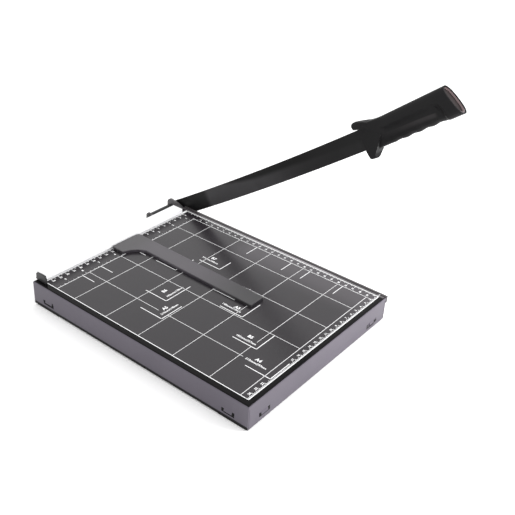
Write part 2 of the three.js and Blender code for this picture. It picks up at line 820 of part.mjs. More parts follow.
// One oval section of the grip, drawn in by an inset
function gripRing(u, inset) {
  const along = u - grip.slopeFrom;
  const flare = smooth((grip.start + grip.flareLength - u) / grip.flareLength);
  const crown = grip.crownAtStart + grip.crownRise * along + grip.flareRise * flare ** 2 - inset;
  const inHold = smooth((grip.holdEnd - u) / grip.stepBlend) * smooth((u - grip.waveFrom) / grip.waveLength);
  const wave = grip.waveDepth * Math.cos((u - grip.waveFrom) * fullTurn / grip.waveLength);
  const belly = grip.bellyAtStart - grip.bellyRise * along - inset
    + smooth((u - grip.holdEnd) / grip.stepBlend) * grip.collarDrop - inHold * wave;
  const width = grip.halfWidthAtStart + grip.halfWidthRise * along - inset;
  const mid = (crown - belly) * oneHalf;
  const half = (crown + belly) * oneHalf;
  const power = 2 / (grip.ovalPower + grip.flareSquare * flare);
  return Array.from({ length: grip.sides }, (_, i) => {
    const angle = -i * fullTurn / grip.sides;
    const c = Math.cos(angle);
    const s = Math.sin(angle);
    const v = mid + half * Math.sign(s) * Math.abs(s) ** power;
    const spread = flare * (c > 0 ? grip.flareLeft : grip.flareRight);
    const x = (width + spread) * Math.sign(c) * Math.abs(c) ** power;
    const step = Math.sign(x) * Math.min(Math.abs(x) * oneHalf, (grip.stepDepth + spread) * holdShare(u, v));
    return [u, v, gripMid + x - step];
  });
}

function gripLoft(inset) {
  return skin(evenly(grip.stations, grip.start, grip.end).map((u) => gripRing(u, inset)));
}

// The slab between two depths below the sloping end face
function endSlab(outer, inner) {
  const reach = grip.end - grip.start;
  const slab = block(-inner, -outer, -reach, reach, -reach, reach);
  slab.rotateZ(THREE.MathUtils.degToRad(grip.endSlope));
  return slab.translate(grip.endTop, grip.endTopHeight, 0);
}

// Guard: a broad flange around the blade, with a rounded lobe above and a spur below.
// The side outline runs along the arm from the grip's start and across the arm,
// the face outline runs leftwards and across it.
const guardSide = {
  start: [-2.5, 9.4],
  curves: [
    [[-5.6, 9.9], [-7.6, 10.2]],
    [[-9.8, 12.4], [-8.8, 15.6]],
    [[-8.2, 18.4], [-3.4, 18.3]],
    [[2.2, 16.8], [7, 15]],
    [[10.5, 13.6], [12, 9.4]],
    [[14.4, 2.4], [21.6, -2.6]],
    [[14.6, -11.4], [6.8, -21.2]],
    [[5.9, -23], [5.9, -27.2]],
    [[3, -27.6], [0, -27.2]],
    [[-2, -21], [-2.5, -12]],
  ],
};
const guardFace = {
  start: [11.5, -23.4],
  curves: [
    [[11.5, -2], [11.5, 14.4]],
    [[11.2, 18.2], [8, 18.3]],
    [[2.6, 17.2], [-4, 13.8]],
    [[-8.4, 11.4], [-10.4, 6]],
    [[-12, 3], [-12.2, 0]],
    [[-12.2, -8], [-8, -14.2]],
    [[-3, -16.2], [2.6, -16.8]],
    [[-2.4, -17.6], [-7.2, -19]],
    [[-4.8, -22.4], [-1, -24.2]],
    [[2, -26.2], [6.1, -26.3]],
    [[11, -26.2], [11.5, -23.4]],
  ],
};
// Its left and right faces draw in towards the grip: places from the grip's start and half widths
const guardPlan = [[-12.5, 13.1], [26, 7]];
const guardLean = 0.4;

function curved({ start, curves }) {
  const shape = new THREE.Shape();
  shape.moveTo(...start);
  for (const [via, to] of curves) shape.quadraticCurveTo(...via, ...to);
  return shape;
}

function guardBody() {
  const reach = guardFace.start[0] + overrun;
  const side = raised(curved(guardSide), -reach - reach, reach, guardSteps);
  const face = raised(curved(guardFace), -grip.end, reach - guardSide.start[0], guardSteps);
  const turn = new THREE.Matrix4().makeBasis(
    new THREE.Vector3(0, 0, 1), new THREE.Vector3(0, 1, 0), new THREE.Vector3(-1, 0, 0));
  const right = guardPlan.map(([u, w]) => [u, -w - guardLean]).reverse();
  const plan = raised(outline([...guardPlan, ...right]), -reach - reach, reach + reach);
  const body = common(common(side, face.applyMatrix4(turn)), plan.rotateX(quarterTurn));
  return body.translate(grip.start, 0, 0);
}

// The end cap: a cup that lines the recess in the grip's end
function endCap() {
  const cup = common(gripLoft(grip.rim + fitGap), endSlab(grip.capLip, grip.capDepth));
  return cut(cup, common(gripLoft(grip.rim + fitGap + grip.capWall), endSlab(-overrun, grip.capSink)));
}

function buildHandle() {
  const w0 = -bladeRight - fitGap;
  const w1 = -bladeLeft + fitGap;
  const guardFront = grip.start + guardSide.start[0];
  const end = blade.shoulder + fitGap;
  const bladeSlot = block(guardFront - blade.tangTop - overrun, end, cutEdge(guardFront) - fitGap,
    topEdge(blade.shoulder) + fitGap, w0, w1);
  const tangSlot = raised(tangShape(fitGap), w0, w1);
  const dowelSeat = rodZ(dowelRadius + fitGap, gripMid - dowelHalf - fitGap, gripMid + dowelHalf + fitGap,
    ...dowelPlace);
  const beyond = endSlab(-(grip.end - grip.start), 0);
  const recess = common(gripLoft(grip.rim), endSlab(-overrun, grip.capDepth + fitGap));
  const shell = cut(join(gripLoft(0), guardBody()), beyond, recess, bladeSlot, tangSlot, dowelSeat);
  piece('handle_grip', shell, material.grip, arm);
  piece('handle_end_cap', endCap(), material.cap, arm);
  const dowel = rodZ(dowelRadius, gripMid - dowelHalf, gripMid + dowelHalf, ...dowelPlace);
  piece('handle_dowel', dowel, material.zinc, arm);
}

// Gauge: a moulded T-square whose steel runner hooks under the fence's raised lip
const gauge = {
  right: 100.5,
  skew: -1.1,
  top: 4,
  headWidth: 44.8,
  headDepth: 19.5,
  armWidth: 23,
  reach: 204.5,
  webStart: 37.5,
  headRadius: 3,
  endRadius: 1.6,
  bevel: 0.7,
  shell: 1.7,
  rimWidth: 1.8,
  ribCount: 6,
  faceGap: 1.35,
};
const runner = {
  sheet: 0.6,
  low: 0.7,
  inset: 5,
  depth: 9,
  lipHeight: 3.6,
  rivetInset: 8,
  rivetLow: 0.25,
  rivetHigh: 3.1,
};
const slide = new THREE.Group();
slide.position.set(-gauge.right, -gauge.faceGap, 0);
slide.rotation.z = THREE.MathUtils.degToRad(gauge.skew);
cutter.add(slide);

function gaugePlan(inset) {
  const { headWidth, headDepth, armWidth, reach, webStart, headRadius, endRadius } = gauge;
  const x0 = -headWidth + inset;
  const x1 = -inset;
  const armX = -armWidth + inset;
  const y0 = -reach + inset;
  const y1 = -inset;
  const r = headRadius;
  const shape = new THREE.Shape();
  shape.moveTo(x1 - r, y1);
  shape.lineTo(x0 + r, y1);
  shape.absarc(x0 + r, y1 - r, r, quarterTurn, halfTurn, false);
  shape.lineTo(x0, -headDepth + inset);
  shape.quadraticCurveTo(armX - headRadius - headRadius, -headDepth - headRadius, armX, -webStart);
  shape.lineTo(armX, y0 + endRadius);
  shape.absarc(armX + endRadius, y0 + endRadius, endRadius, halfTurn, halfTurn + quarterTurn, false);
  shape.lineTo(x1 - endRadius, y0);
  shape.absarc(x1 - endRadius, y0 + endRadius, endRadius, -quarterTurn, 0, false);
  shape.lineTo(x1, y1 - r);
  shape.absarc(x1 - r, y1 - r, r, 0, quarterTurn, false);
  return shape;
}

function gaugeBody() {
  const { top, bevel } = gauge;
  const bottom = seatGap;
  const body = new THREE.ExtrudeGeometry(gaugePlan(0), {
    depth: top - bottom - bevel,
    bevelEnabled: true,
    bevelThickness: bevel,
    bevelSize: bevel,
    bevelOffset: -bevel,
    bevelSegments: 1,
    curveSegments: foldSteps,
  });
  const below = block(-gauge.headWidth - overrun, overrun, -gauge.reach - overrun, overrun, -overrun, bottom);
  return cut(body.translate(0, 0, bottom), below);
}

const rivetRow = [-gauge.headWidth + runner.inset + runner.rivetInset, -runner.inset - runner.rivetInset];
const runnerBack = gauge.faceGap + fenceSheet + turnGap;
const runnerMid = runner.depth * oneHalf;

function buildGauge() {
  const roof = gauge.top - gauge.shell;
  const headFloor = -runner.depth - overrun;
  const hollow = raised(gaugePlan(gauge.rimWidth), -overrun, roof);
  const keepHead = block(-gauge.headWidth, 0, headFloor, overrun, -overrun, gauge.top);
  const ribHalf = gauge.shell * oneHalf;
  const ribs = evenly(gauge.ribCount, -gauge.reach + gauge.armWidth, -gauge.webStart).map((y) =>
    block(-gauge.armWidth, 0, y - ribHalf, y + ribHalf, -overrun, gauge.top));
  const pocket = block(-gauge.headWidth + runner.inset - fitGap, fitGap - runner.inset,
    -runner.depth - fitGap, overrun, -overrun, runner.low + runner.sheet + fitGap);
  const rivetHoles = rivetRow.map((x) =>
    rodZ(rivetHole, -overrun, runner.rivetHigh + fitGap, x, -runnerMid));
  const body = cut(gaugeBody(), cut(hollow, keepHead, ...ribs), pocket, ...rivetHoles);
  piece('gauge_plate', body, material.gauge, slide);

  const x0 = -gauge.headWidth + runner.inset;
  const x1 = -runner.inset;
  const low = runner.low;
  const high = low + runner.sheet;
  const strip = block(x0, x1, -runner.depth, runnerBack + runner.sheet, low, high);
  const lip = block(x0, x1, runnerBack, runnerBack + runner.sheet, low, low + runner.lipHeight);
  const holes = rivetRow.map((x) => rodZ(rivetHole, -overrun, high + overrun, x, -runnerMid));
  piece('gauge_runner', cut(join(strip, lip), ...holes), material.steel, slide);
  const { shankRadius, headRadius } = rivet;
  rivetRow.forEach((x, i) => {
    const fastener = turned([[0, runner.rivetLow], [headRadius, runner.rivetLow],
      [headRadius, low - turnGap], [shankRadius, low - turnGap], [shankRadius, runner.rivetHigh],
      [0, runner.rivetHigh]]);
    piece(`gauge_rivet_${i + 1}`, fastener.translate(x, -runnerMid, 0), material.zinc, slide);
  });
}

buildTray();
buildFeet();
buildStiffeners();
buildBedKnife();
buildFence();
buildEndStop();
buildBracket();
buildStack();
buildBlade();
buildHandle();
buildGauge();

// The cutter stands with the middle of its footprint on the origin
cutter.updateMatrixWorld(true);
const bounds = new THREE.Box3().setFromObject(cutter, true);
const middle = bounds.getCenter(new THREE.Vector3());
cutter.position.set(-middle.x, -middle.y, -bounds.min.z);
const model = new THREE.Group();
model.add(cutter);
model.updateMatrixWorld(true);

export default model;
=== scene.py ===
# %% [markdown]
# # A lever paper cutter, dressed for the camera
# The CAD model gives every solid its place. This notebook adds what CAD leaves out:
# the printed rulers and sheet marks, the finishes, the light and the camera.
# All lengths in the code are millimetres until they reach Blender, which uses metres.

import json
import math

import bpy
from mathutils import Matrix, Vector


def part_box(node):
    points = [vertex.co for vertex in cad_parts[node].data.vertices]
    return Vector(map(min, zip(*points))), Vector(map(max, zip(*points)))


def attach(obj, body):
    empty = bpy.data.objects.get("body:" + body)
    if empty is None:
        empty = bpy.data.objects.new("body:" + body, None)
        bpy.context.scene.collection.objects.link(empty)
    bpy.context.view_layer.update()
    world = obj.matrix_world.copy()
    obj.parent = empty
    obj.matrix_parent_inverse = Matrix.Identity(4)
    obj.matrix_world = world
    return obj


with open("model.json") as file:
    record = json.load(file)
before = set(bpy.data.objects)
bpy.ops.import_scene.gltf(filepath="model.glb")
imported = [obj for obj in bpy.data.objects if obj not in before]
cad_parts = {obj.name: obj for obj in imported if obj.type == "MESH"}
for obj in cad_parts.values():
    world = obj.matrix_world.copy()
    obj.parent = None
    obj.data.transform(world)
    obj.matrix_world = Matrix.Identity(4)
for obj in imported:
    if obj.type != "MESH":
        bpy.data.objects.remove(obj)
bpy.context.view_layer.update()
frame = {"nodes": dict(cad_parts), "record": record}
nodes = frame["nodes"]
print("CAD nodes:", len(nodes))

# %% [markdown]
# ## One corner to measure from
# The print is laid out from the cut edge and the fence, just as paper is. `at` turns
# a distance left of the cut edge (u), a distance in front of the fence (v) and a
# height above the board (z) into a point of the model.

# %% Datum
MM = 0.001
cut_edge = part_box("bed_knife")[1].x
fence_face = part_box("fence_rail")[0].y
deck_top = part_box("base_tray")[1].z


def at(u, v, z=0.0):
    return Vector((cut_edge - u * MM, fence_face - v * MM, deck_top + z * MM))


print("datum:", tuple(round(c, 4) for c in at(0, 0)))

# %% [markdown]
# ## The camera
# The viewpoint was worked out from the printed 50 mm grid. Its three axes and its
# place are given from the same datum as the print, so it follows the model.

# %% Camera
camera_data = bpy.data.cameras.new("photo_camera")
camera = bpy.data.objects.new("photo_camera", camera_data)
bpy.context.scene.collection.objects.link(camera)
camera_right = Vector((0.621949, -0.781139, 0.054778))
camera_down = Vector((-0.377152, -0.360127, -0.853267))
camera_forward = Vector((0.686247, 0.510029, -0.518589))
camera_place = at(717.973, 649.222, 514.222)
axes = Matrix((camera_right, -camera_down, -camera_forward)).transposed()
camera.matrix_world = Matrix.Translation(camera_place) @ axes.to_4x4()
camera_data.sensor_width = 36
camera_data.lens = 56.321
camera_data.clip_end = 20
bpy.context.scene.camera = camera
print("camera at", tuple(round(c, 3) for c in camera_place), "lens", camera_data.lens)

# %% [markdown]
# ## Small builders for shaders
# Every finish below is a few nodes wired together. Written out in full, the wiring
# would hide the idea, so each helper adds one node, feeds it, and hands back its
# output. A number goes straight onto a socket, and an output is linked to it.

# %% Node helpers


def feed(tree, socket, value):
    """Put a number or a colour on a socket, or link another node's output to it."""
    if isinstance(value, tuple):
        socket.default_value = (*value, 1)
    elif isinstance(value, (int, float)):
        socket.default_value = value
    else:
        tree.links.new(value, socket)


def math_node(tree, operation, first, second):
    made = tree.nodes.new("ShaderNodeMath")
    made.operation = operation
    feed(tree, made.inputs[0], first)
    feed(tree, made.inputs[1], second)
    return made.outputs[0]


def product(tree, mask, *others):
    """All of the masks at once: 1 only where each of them is 1."""
    for other in others:
        mask = math_node(tree, "MULTIPLY", mask, other)
    return mask


def mix_colour(tree, factor, first, second):
    made = tree.nodes.new("ShaderNodeMix")
    made.data_type = "RGBA"
    for socket, value in zip((made.inputs[0], made.inputs[6], made.inputs[7]),
                             (factor, first, second)):
        feed(tree, socket, value)
    return made.outputs[2]


def mix_number(tree, factor, low, high):
    made = tree.nodes.new("ShaderNodeMix")
    for socket, value in zip((made.inputs[0], made.inputs[2], made.inputs[3]),
                             (factor, low, high)):
        feed(tree, socket, value)
    return made.outputs[0]


def ramp(tree, value, span, result):
    """A smooth step: it goes from result[0] to result[1] while the value crosses the span."""
    made = tree.nodes.new("ShaderNodeMapRange")
    made.interpolation_type = "SMOOTHSTEP"
    made.inputs["From Min"].default_value, made.inputs["From Max"].default_value = span
    made.inputs["To Min"].default_value, made.inputs["To Max"].default_value = result
    tree.links.new(value, made.inputs["Value"])
    return made.outputs[0]


def split(tree, vector):
    """The X, Y and Z of a vector."""
    made = tree.nodes.new("ShaderNodeSeparateXYZ")
    tree.links.new(vector, made.inputs[0])
    return tuple(made.outputs)


def forward_ramp(tree, y, span, result):
    """A smooth step between two distances in front of the fence."""
    return ramp(tree, y, (at(0, span[0]).y, at(0, span[1]).y), result)


# %% [markdown]
# ## Materials and their second colours
# Each finish is one Principled surface. Most real finishes aren't one flat colour,
# so `repaint` lays a second colour over whatever already feeds the surface, where
# a mask says so. That keeps one material for each piece.

# %% Material helpers


def new_material(name, colour, roughness, metallic=0.0, specular=0.5):
    material = bpy.data.materials.new(name)
    material.use_nodes = True
    surface = material.node_tree.nodes["Principled BSDF"]
    surface.inputs["Base Color"].default_value = (*colour, 1)
    surface.inputs["Roughness"].default_value = roughness
    surface.inputs["Metallic"].default_value = metallic
    surface.inputs["Specular IOR Level"].default_value = specular
    return material, material.node_tree, surface


def repaint(tree, surface, mask, colour):
    under = surface.inputs["Base Color"].links[0].from_socket
    tree.links.new(mix_colour(tree, mask, under, colour), surface.inputs["Base Color"])


# %% [markdown]
# ## A shared grain
# Powder coat, moulded plastic and cast skin all have a fine grain. It could be a
# picture laid over each piece, but noise in object coordinates needs no unwrapping
# and never repeats. One node group makes it for all of them: a slow cloud to vary
# the colour, and a bumped normal from a fine speck.

# %% Grain group
grain = bpy.data.node_groups.new("fine_grain", "ShaderNodeTree")
for name, value in (("Scale", 900.0), ("Bump", 0.1), ("Cloud Scale", 12.0)):
    socket = grain.interface.new_socket(name, in_out="INPUT", socket_type="NodeSocketFloat")
    socket.default_value = value
grain.interface.new_socket("Cloud", in_out="OUTPUT", socket_type="NodeSocketFloat")
grain.interface.new_socket("Normal", in_out="OUTPUT", socket_type="NodeSocketVector")
grain_in = grain.nodes.new("NodeGroupInput")
grain_out = grain.nodes.new("NodeGroupOutput")
grain_place = grain.nodes.new("ShaderNodeTexCoord")
speck_noise, cloud_noise = (grain.nodes.new("ShaderNodeTexNoise") for _ in range(2))
for noise, detail, roughness in ((speck_noise, 2.0, 0.6), (cloud_noise, 3.0, 0.55)):
    noise.inputs["Detail"].default_value = detail
    noise.inputs["Roughness"].default_value = roughness
    grain.links.new(grain_place.outputs["Object"], noise.inputs["Vector"])
grain_bump = grain.nodes.new("ShaderNodeBump")
grain_bump.inputs["Distance"].default_value = 0.2 * MM
for source, target in (
    (grain_in.outputs["Scale"], speck_noise.inputs["Scale"]),
    (grain_in.outputs["Cloud Scale"], cloud_noise.inputs["Scale"]),
    (grain_in.outputs["Bump"], grain_bump.inputs["Strength"]),
    (speck_noise.outputs["Fac"], grain_bump.inputs["Height"]),
    (cloud_noise.outputs["Fac"], grain_out.inputs["Cloud"]),
    (grain_bump.outputs["Normal"], grain_out.inputs["Normal"]),
):
    grain.links.new(source, target)
print("grain group:", len(grain.nodes), "nodes")

# %% [markdown]
# ## Laying the grain on a material
# `add_grain` places the group in a material with that finish's own scale and bump.
# `vary_colour` lets the cloud drift between a dark and a light colour. The noise
# stays near its middle, so it is stretched first to reach both ends.

# %% Grain helpers
CLOUD_STRETCH, CLOUD_SHIFT = 1.6, -0.3


def add_grain(tree, surface, scale, bump, cloud_scale=12.0):
    group = tree.nodes.new("ShaderNodeGroup")
    group.node_tree = grain
    group.inputs["Scale"].default_value = scale
    group.inputs["Bump"].default_value = bump
    group.inputs["Cloud Scale"].default_value = cloud_scale
    tree.links.new(group.outputs["Normal"], surface.inputs["Normal"])
    return group.outputs["Cloud"]


def vary_colour(tree, surface, cloud, dark, light):
    factor = math_node(tree, "MULTIPLY_ADD", cloud, CLOUD_STRETCH)
    factor.node.inputs[2].default_value = CLOUD_SHIFT
    factor.node.use_clamp = True
    tree.links.new(mix_colour(tree, factor, dark, light), surface.inputs["Base Color"])


# %% [markdown]
# ## The board: which part of it is which
# The folded board is one piece of steel with several looks: purple-grey powder coat
# on the walls, a charcoal panel printed on top, a black margin round the panel, and
# a bare-looking strip beside the bed knife. The piece could be cut into several
# objects, but the real one is a single sheet. So masks choose the look, from the
# direction that the surface faces and from where it is.

# %% Board masks
board, tree, surface = new_material("board_powder_coat", (0.1, 0.1, 0.12), 0.36)
place = tree.nodes.new("ShaderNodeTexCoord")
x, y, z = split(tree, place.outputs["Object"])
facing_x, _, facing_z = split(tree, place.outputs["Normal"])
TOP_FACING, WALL_FACING, BELOW_FOLD = 0.98, 0.7, -6
PANEL_LEFT, PANEL_FRONT, PANEL_RIGHT, PANEL_BACK = 247.9, 300.0, 8.1, -11
panel_low, panel_high = at(PANEL_LEFT, PANEL_FRONT), at(PANEL_RIGHT, PANEL_BACK)
on_top = math_node(tree, "GREATER_THAN", facing_z, TOP_FACING)
on_panel = on_top
for axis, low, high in ((x, panel_low.x, panel_high.x), (y, panel_low.y, panel_high.y)):
    on_panel = product(tree, on_panel, math_node(tree, "GREATER_THAN", axis, low),
                       math_node(tree, "LESS_THAN", axis, high))
on_wall = math_node(tree, "MAXIMUM", math_node(tree, "LESS_THAN", facing_z, WALL_FACING),
                    math_node(tree, "LESS_THAN", z, at(0, 0, BELOW_FOLD).z))
on_strip = product(tree, on_top, math_node(tree, "GREATER_THAN", x, panel_high.x))
print("board panel from", tuple(panel_low), "to", tuple(panel_high))

# %% [markdown]
# ## Painted shade in the board's slits
# Where a tab is lanced out of the wall, a dark slit shows on three sides of it, and
# the left wall's lowest edge lies in shadow. The CAD tabs are there, but their slits
# are thinner than a pixel, so the shade in the slits and the shadow along that lowest
# edge are painted on the wall as dark colour. Each slit is a box in object
# coordinates, and a point is inside a box when its distance from the centre is less
# than the half size on every axis.

# %% Painted slit shade


def inside_box(tree, position, centre, half_size):
    """1 inside a box, 0 outside it."""
    offset, distance, excess = (tree.nodes.new("ShaderNodeVectorMath") for _ in range(3))
    offset.operation, distance.operation, excess.operation = "SUBTRACT", "ABSOLUTE", "SUBTRACT"
    offset.inputs[1].default_value = centre
    excess.inputs[1].default_value = half_size
    tree.links.new(position, offset.inputs[0])
    tree.links.new(offset.outputs[0], distance.inputs[0])
    tree.links.new(distance.outputs[0], excess.inputs[0])
    past_x, past_y, past_z = split(tree, excess.outputs[0])
    farthest = math_node(tree, "MAXIMUM", math_node(tree, "MAXIMUM", past_x, past_y), past_z)
    return math_node(tree, "LESS_THAN", farthest, 0.0)


# Each slit: its middle along the wall, half its width, its lowest and highest point.
LEFT_WALL_SLITS = (
    (13.6, 8.1, -23.0, -20.8), (20.7, 1.1, -23.0, -17.2), (6.6, 1.8, -22.4, -18.2),
    (283.3, 6.4, -24.1, -21.8), (288.5, 1.4, -24.1, -18.3), (275.4, 1.5, -23.4, -19.0),
)
FRONT_WALL_SLITS = (
    (33.2, 7.9, -26.0, -23.9), (39.9, 1.3, -25.6, -20.2), (24.3, 2.6, -24.8, -20.0),
    (229.0, 8.0, -24.8, -22.5), (236.7, 1.2, -24.6, -19.2), (222.9, 1.9, -23.9, -19.0),
)
LEFT_WALL_U, FRONT_WALL_V, SLIT_DEPTH, SHADOW_EDGE_TOP, FACES_LEFT = 255.75, 307, 5.0, -26.2, -0.5
slits = [(LEFT_WALL_U, v, SLIT_DEPTH, half, low, high) for v, half, low, high in LEFT_WALL_SLITS]
slits += [(u, FRONT_WALL_V, half, SLIT_DEPTH, low, high)
          for u, half, low, high in FRONT_WALL_SLITS]
# Painted shadow along the left wall's lowest edge, then painted shade in each slit.
slit_shade = product(tree, math_node(tree, "LESS_THAN", z, at(0, 0, SHADOW_EDGE_TOP).z),
                math_node(tree, "LESS_THAN", facing_x, FACES_LEFT))
for u, v, half_u, half_v, low, high in slits:
    slit = inside_box(tree, place.outputs["Object"], at(u, v, (low + high) / 2),
                      (half_u * MM, half_v * MM, (high - low) / 2 * MM))
    slit_shade = math_node(tree, "MAXIMUM", slit_shade, slit)
print("slits:", len(slits))

# %% [markdown]
# ## The board's colours
# The coat and the panel drift a little between two tones. The strip by the knife is
# lighter along its middle, and the panel's right side is paler. On the real
# board both are faint reflections of a room. The room here is plain white, so they
# are painted in as painted reflections, with soft edges.

# %% Board colours
COAT_DARK, COAT_LIGHT = (0.059, 0.0505, 0.07), (0.088, 0.0745, 0.1)
PANEL_DARK, PANEL_LIGHT, PANEL_SHEEN = (
    (0.0115, 0.0095, 0.012), (0.019, 0.0155, 0.0195), (0.056, 0.05, 0.057))
STRIP_DARK, STRIP_SHEEN = (0.08, 0.073, 0.078), (0.24, 0.222, 0.236)
SHADE_BLACK, MARGIN_BLACK = (0.004, 0.004, 0.004), (0.003, 0.0026, 0.003)
STRIP_SHEEN_RISES, STRIP_SHEEN_FADES = (20, 185), (210, 265)
PANEL_SHEEN_LEFT, PANEL_SHEEN_RIGHT, PANEL_SHEEN_STARTS = 70, 25, (90, 130)
cloud = add_grain(tree, surface, 1400.0, 0.12, 14.0)
wall_colour = mix_colour(tree, cloud, COAT_DARK, COAT_LIGHT)
wall_colour = mix_colour(tree, slit_shade, wall_colour, SHADE_BLACK)
# Painted reflection: the strip's lighter middle and the panel's paler right side.
strip_sheen = product(tree, forward_ramp(tree, y, STRIP_SHEEN_RISES, (0, 1)),
                     forward_ramp(tree, y, STRIP_SHEEN_FADES, (1, 0)))
strip_colour = mix_colour(tree, strip_sheen, STRIP_DARK, STRIP_SHEEN)
panel_sheen_span = (at(PANEL_SHEEN_LEFT, 0).x, at(PANEL_SHEEN_RIGHT, 0).x)
panel_sheen = product(tree, ramp(tree, x, panel_sheen_span, (0, 1)),
                forward_ramp(tree, y, PANEL_SHEEN_STARTS, (0, 1)))
panel_colour = mix_colour(tree, cloud, PANEL_DARK, PANEL_LIGHT)
panel_colour = mix_colour(tree, panel_sheen, panel_colour, PANEL_SHEEN)
board_colour = mix_colour(tree, on_wall, MARGIN_BLACK, wall_colour)
board_colour = mix_colour(tree, on_strip, board_colour, strip_colour)
board_colour = mix_colour(tree, on_panel, board_colour, panel_colour)
tree.links.new(board_colour, surface.inputs["Base Color"])
print("board nodes:", len(tree.nodes))

# %% [markdown]
# ## The board's gloss
# Charcoal paint looks grey here mostly because it mirrors the white room. The black
# margin, the slits and the strip of print beside the fence stay dark, so they mirror
# less. That is set by the specular level. Roughness alone would only blur the mirror.

# %% Board gloss
DULL, SHINY, WALL_ROUGHNESS, PANEL_ROUGHNESS = 0.12, 0.64, 0.36, 0.25
FENCE_SHADE, FENCE_SHADE_DEPTH = (17, 6), 0.95
by_fence = product(tree, forward_ramp(tree, y, FENCE_SHADE, (0.0, FENCE_SHADE_DEPTH)), on_top)
shining = math_node(tree, "MAXIMUM", math_node(tree, "MAXIMUM", on_panel, on_strip), on_wall)
shining = math_node(tree, "SUBTRACT", shining, slit_shade)
shining = math_node(tree, "SUBTRACT", shining, by_fence)
shining.node.use_clamp = True
tree.links.new(mix_number(tree, shining, DULL, SHINY), surface.inputs["Specular IOR Level"])
tree.links.new(mix_number(tree, on_top, WALL_ROUGHNESS, PANEL_ROUGHNESS),
               surface.inputs["Roughness"])
print("board specular from", DULL, "to", SHINY)

# %% [markdown]
# ## Lacquers
# The fence is white lacquer under a clear coat, which keeps its long edge crisp.
# The end stop is black lacquer with a fine grain. White is written as a very light
# grey and black as a very dark one, because no real paint returns all the light or
# none of it.

# %% Lacquers
CLEAR_COAT = 0.3
white_coat, tree, surface = new_material("white_coat", (0.86, 0.86, 0.87), 0.35)
surface.inputs["Coat Weight"].default_value = CLEAR_COAT
black_coat, tree, surface = new_material("black_coat", (0.02, 0.02, 0.02), 0.38)
cloud = add_grain(tree, surface, 700.0, 0.06, 22.0)
vary_colour(tree, surface, cloud, (0.014, 0.0135, 0.014), (0.024, 0.023, 0.0245))
print("lacquers:", white_coat.name, black_coat.name)

# %% [markdown]
# ## The arm's own directions
# The blade and the grip are marked along the arm, which leans back. Object axes
# don't follow it, so a point is measured from the hinge along two directions: out
# along the arm, and up across it. A dot product does each of them.

# %% Arm directions
ARM_RISE = math.radians(33.5)
ARM_OUT = Vector((0, -math.cos(ARM_RISE), math.sin(ARM_RISE)))
ARM_UP = Vector((0, math.sin(ARM_RISE), math.cos(ARM_RISE)))
HINGE_BEHIND_FENCE, HINGE_BELOW_TOP = 35.5, 6.5
hinge = at(0, -HINGE_BEHIND_FENCE, -HINGE_BELOW_TOP)


def arm_measures(tree, place):
    """Millimetres from the hinge, out along the arm and up across it."""
    from_hinge = tree.nodes.new("ShaderNodeVectorMath")
    from_hinge.operation = "SUBTRACT"
    from_hinge.inputs[1].default_value = hinge
    tree.links.new(place.outputs["Object"], from_hinge.inputs[0])
    measures = []
    for direction in (ARM_OUT, ARM_UP):
        dot = tree.nodes.new("ShaderNodeVectorMath")
        dot.operation = "DOT_PRODUCT"
        dot.inputs[1].default_value = direction / MM
        tree.links.new(from_hinge.outputs[0], dot.inputs[0])
        measures.append(dot.outputs["Value"])
    return measures


print("hinge at", tuple(round(c, 4) for c in hinge))

# %% [markdown]
# ## The pivot bracket
# The bracket is the same black steel. Its lug stands up into the light, so a ramp on
# height paints it lighter from the pin upwards, as a painted highlight.

# %% Bracket coat
LUG_RISE = 3
bracket_coat, tree, surface = new_material("bracket_coat", (0.02, 0.02, 0.02), 0.45)
place = tree.nodes.new("ShaderNodeTexCoord")
height = split(tree, place.outputs["Object"])[2]
# Painted highlight on the lug, lighter from the pin upwards.
lug_highlight = ramp(tree, height, (hinge.z, hinge.z + LUG_RISE * MM), (0.0, 1.0))
tree.links.new(mix_colour(tree, lug_highlight, (0.018, 0.017, 0.018), (0.085, 0.08, 0.084)),
               surface.inputs["Base Color"])
print("lug lightens above", round(hinge.z / MM, 1), "mm")

# %% [markdown]
# ## The blade's coat
# The blade is blackened, and a greyer band along its lower half is a painted sheen.
# The band starts past the pivot, its upper limit runs down across the blade, and it
# fades toward the grip. Each of those is a ramp, and their product is the mask.

# %% Blade coat
BLADE_SHEEN_STARTS, BLADE_SHEEN_FADES, BLADE_SHEEN_LEAST = (65, 76), (140, 295), 0.1
BLADE_SHEEN_TOP_ALONG, BLADE_SHEEN_TOP, BLADE_SHEEN_EDGE = (75, 175), (4.5, -4.5), (-3, 3.5)
CLOUD_SPAN, CLOUD_STRENGTH = (0.2, 0.8), (0.8, 1.15)
blade_coat, tree, surface = new_material("blade_coat", (0.02, 0.02, 0.02), 0.38, specular=0.2)
cloud = add_grain(tree, surface, 500.0, 0.05, 30.0)
vary_colour(tree, surface, cloud, (0.002, 0.002, 0.002), (0.006, 0.0058, 0.0062))
along, across = arm_measures(tree, tree.nodes.new("ShaderNodeTexCoord"))
above_band = math_node(tree, "SUBTRACT", across, ramp(tree, along, BLADE_SHEEN_TOP_ALONG, BLADE_SHEEN_TOP))
# Painted sheen: the greyer band on the blade's lower half.
blade_sheen = product(tree, ramp(tree, above_band, BLADE_SHEEN_EDGE, (1, 0)),
               ramp(tree, along, BLADE_SHEEN_STARTS, (0, 1)),
               ramp(tree, along, BLADE_SHEEN_FADES, (1, BLADE_SHEEN_LEAST)),
               ramp(tree, cloud, CLOUD_SPAN, CLOUD_STRENGTH))
repaint(tree, surface, blade_sheen, (0.046, 0.0445, 0.047))
print("worn band from", BLADE_SHEEN_STARTS[0], "to", BLADE_SHEEN_FADES[1], "mm along the blade")
